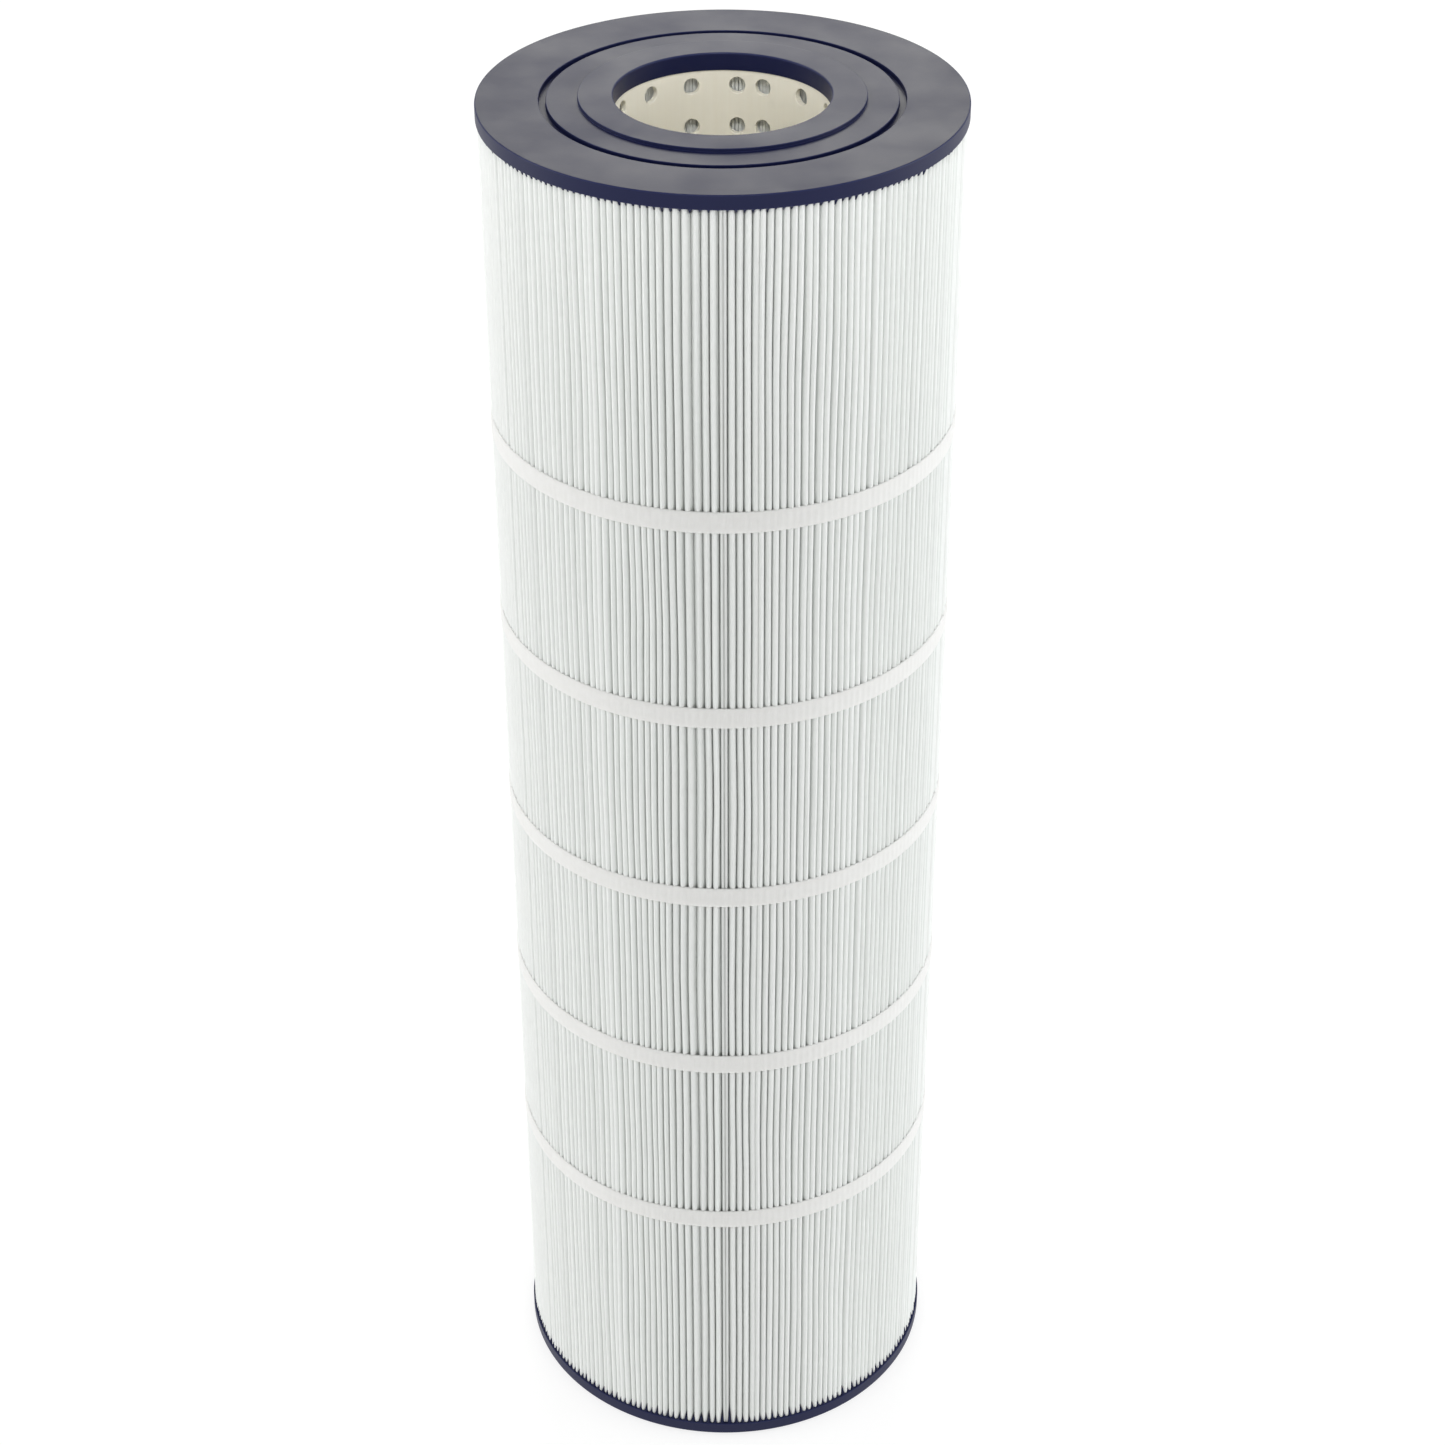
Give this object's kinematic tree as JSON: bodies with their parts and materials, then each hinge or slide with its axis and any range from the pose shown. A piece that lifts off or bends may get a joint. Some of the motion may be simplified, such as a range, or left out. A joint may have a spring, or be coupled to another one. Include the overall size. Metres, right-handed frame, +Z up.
{
  "type": "pleated filter cartridge",
  "caption": "Tall round pleated filter cartridge with a moulded cap at each end, flat straps round the pleats and a bore lined by a perforated core tube, for filtering pool or spa water.",
  "frame": {"origin": "centre of the bottom cap's sealing face, which is the lowest point of the part", "axes": "+Z up along the cartridge's axis, -Y towards the front, where the media's glued seam is, +X to the right"},
  "size_m": [0.178, 0.178, 0.5874],
  "materials": {
    "cast_urethane": "matte cast navy",
    "core_polymer": "satin ivory",
    "spunbond_polyester": "matte white nonwoven",
    "strap_polyester": "smooth white nonwoven band",
    "melt_adhesive": "translucent cream, set from a melt"
  },
  "bodies": {
    "root": {"bottom_end_cap": "cast_urethane", "top_end_cap": "cast_urethane", "core_tube": "core_polymer", "pleated_media": "spunbond_polyester", "media_seam_bead": "melt_adhesive", "strap_1": "strap_polyester", "strap_2": "strap_polyester", "strap_3": "strap_polyester", "strap_4": "strap_polyester", "strap_5": "strap_polyester"}
  },
  "joints": []
}
